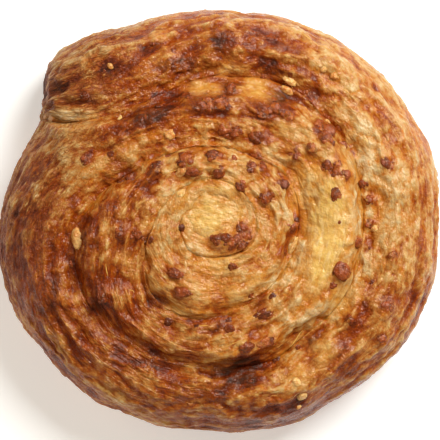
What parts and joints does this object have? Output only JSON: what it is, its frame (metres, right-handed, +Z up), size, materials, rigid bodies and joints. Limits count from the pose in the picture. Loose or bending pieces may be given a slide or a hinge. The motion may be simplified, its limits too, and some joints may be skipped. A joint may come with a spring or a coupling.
{
  "type": "cheese swirl",
  "caption": "Round baked swirl of layered dough rolled into a flat coil, with cheese between its turns, a pool of cheese at the middle and a blunt tail at the rim.",
  "frame": {"origin": "on the flat base, under the middle of the outline", "axes": "+Z up through the thickness, +Y away from the viewer's side of the picture, towards the top of the picture, +X to the right of the picture"},
  "size_m": [0.1146, 0.1098, 0.0351],
  "materials": {
    "baked_dough": "golden brown baked crust, semi-gloss on the browned crests",
    "melted_cheese": "soft yellow melted cheese, slightly oily"
  },
  "bodies": {
    "root": {"dough": "baked_dough", "cheese_filling": "melted_cheese"}
  },
  "joints": []
}
